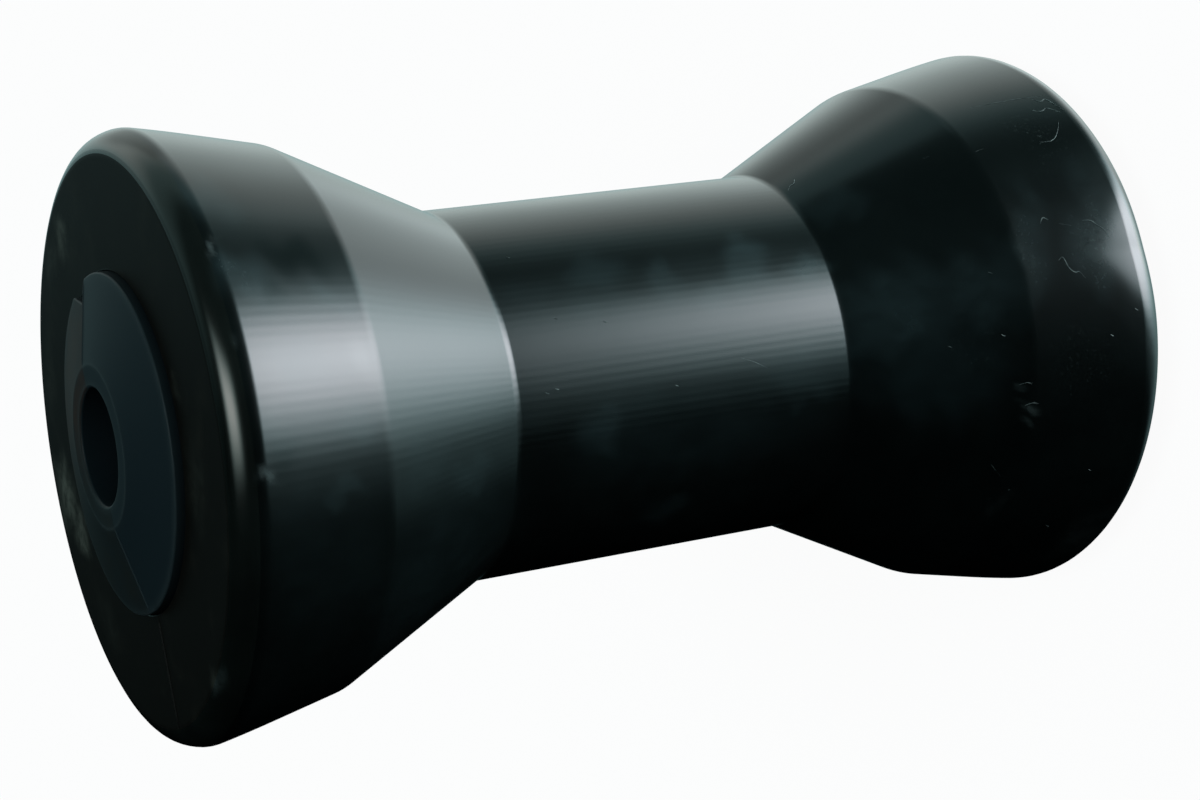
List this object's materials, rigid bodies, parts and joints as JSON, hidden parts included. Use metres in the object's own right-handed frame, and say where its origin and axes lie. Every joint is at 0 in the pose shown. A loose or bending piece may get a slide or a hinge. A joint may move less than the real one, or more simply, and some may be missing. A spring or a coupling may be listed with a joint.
{
  "type": "boat trailer roller",
  "caption": "Spool-shaped keel roller of black rubber with two flared flanges and a straight barrel, moulded on a plastic core with a through bore for a spindle.",
  "frame": {"origin": "centre of the lower bearing land of the core, on the roller's axis, at the lowest point of the part as it stands on its end", "axes": "+Z along the roller's axis and its bore, upwards; X and Z span the parting plane of the core, and the short-moulded corner of its upper disc lies at -X"},
  "size_m": [0.1106, 0.1106, 0.2],
  "materials": {
    "rubber": "satin black moulded rubber",
    "core_plastic": "matte blue-black moulded plastic"
  },
  "bodies": {
    "root": {"rubber_body": "rubber", "plastic_core": "core_plastic"}
  },
  "joints": []
}
